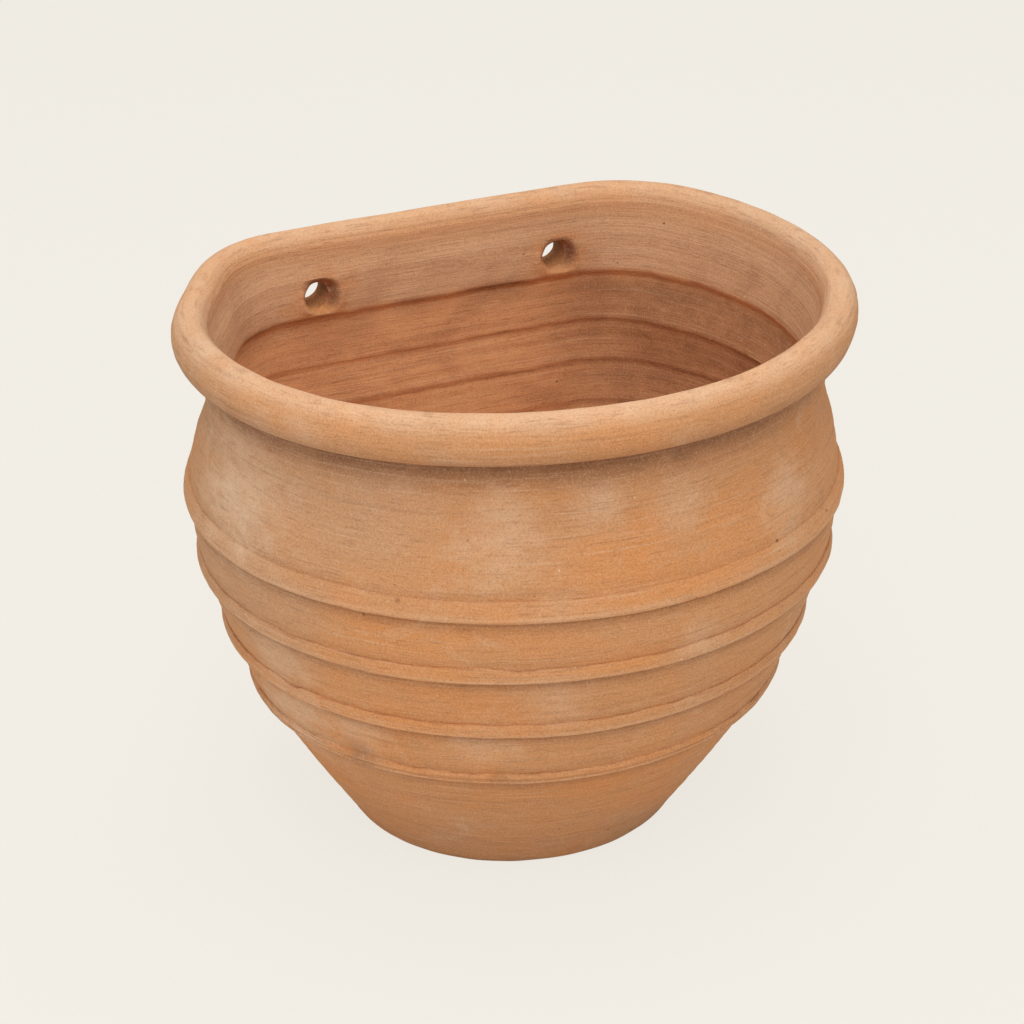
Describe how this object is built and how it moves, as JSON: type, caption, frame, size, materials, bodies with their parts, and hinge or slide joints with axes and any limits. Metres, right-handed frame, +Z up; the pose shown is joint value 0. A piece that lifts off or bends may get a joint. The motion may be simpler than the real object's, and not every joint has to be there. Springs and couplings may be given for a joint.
{
  "type": "wall planter",
  "caption": "Round banded terracotta pot with a thick rolled rim, a flat back to stand against a wall, hanging holes under the rim and a drain hole in its floor.",
  "frame": {"origin": "on the floor plane, under the middle of the overall box", "axes": "+Z up; the flat back faces +Y; the round front faces -Y; +X to the right seen from the front"},
  "size_m": [0.3499, 0.2979, 0.294],
  "materials": {
    "terracotta": "matte unglazed fired clay"
  },
  "bodies": {
    "root": {"base_floor": "terracotta", "wall": "terracotta", "rolled_rim": "terracotta", "band_1": "terracotta", "band_2": "terracotta", "band_3": "terracotta", "band_4": "terracotta"}
  },
  "joints": []
}
